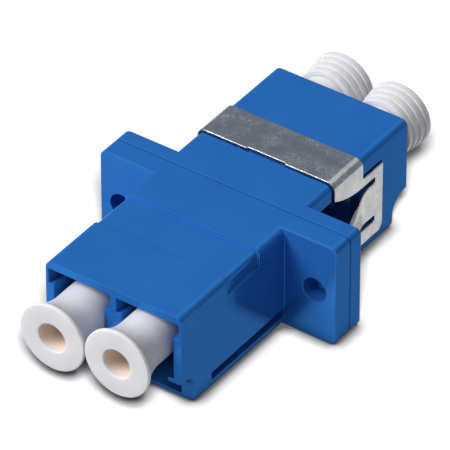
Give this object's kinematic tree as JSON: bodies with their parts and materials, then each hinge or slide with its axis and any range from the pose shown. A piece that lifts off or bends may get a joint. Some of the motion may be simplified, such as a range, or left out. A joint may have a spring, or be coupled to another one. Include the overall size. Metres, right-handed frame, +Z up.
{
  "type": "fibre optic adapter",
  "caption": "Duplex fibre optic adapter: two-half plastic housing with a flange for panel mounting, sprung metal panel clip, split alignment sleeves and pull-out dust plugs.",
  "frame": {"origin": "middle of the two flange holes, on the flange's rear face, which seats on the panel", "axes": "+X across the two ports to the right, +Y along the fibres from the front half to the clip side, +Z up from the latch side it lies on"},
  "size_m": [0.022, 0.0387, 0.0094],
  "materials": {
    "housing": "gloss moulded",
    "clip": "bright rolled sheet",
    "sleeve": "ground",
    "dust_plug": "satin moulded"
  },
  "bodies": {
    "adapter": {"front_housing": "housing", "rear_housing": "housing", "panel_clip": "clip", "split_sleeve_left": "sleeve", "split_sleeve_right": "sleeve"},
    "plug_front_left": {"dust_plug_front_left": "dust_plug"},
    "plug_front_right": {"dust_plug_front_right": "dust_plug"},
    "plug_rear_left": {"dust_plug_rear_left": "dust_plug"},
    "plug_rear_right": {"dust_plug_rear_right": "dust_plug"}
  },
  "joints": [
    {"name": "pull_plug_front_left", "type": "slide", "parent": "adapter", "child": "plug_front_left", "axis": [0, -1, 0], "range_m": [0, 0.012]},
    {"name": "pull_plug_front_right", "type": "slide", "parent": "adapter", "child": "plug_front_right", "axis": [0, -1, 0], "range_m": [0, 0.012]},
    {"name": "pull_plug_rear_left", "type": "slide", "parent": "adapter", "child": "plug_rear_left", "axis": [0, 1, 0], "range_m": [0, 0.012]},
    {"name": "pull_plug_rear_right", "type": "slide", "parent": "adapter", "child": "plug_rear_right", "axis": [0, 1, 0], "range_m": [0, 0.012]}
  ]
}
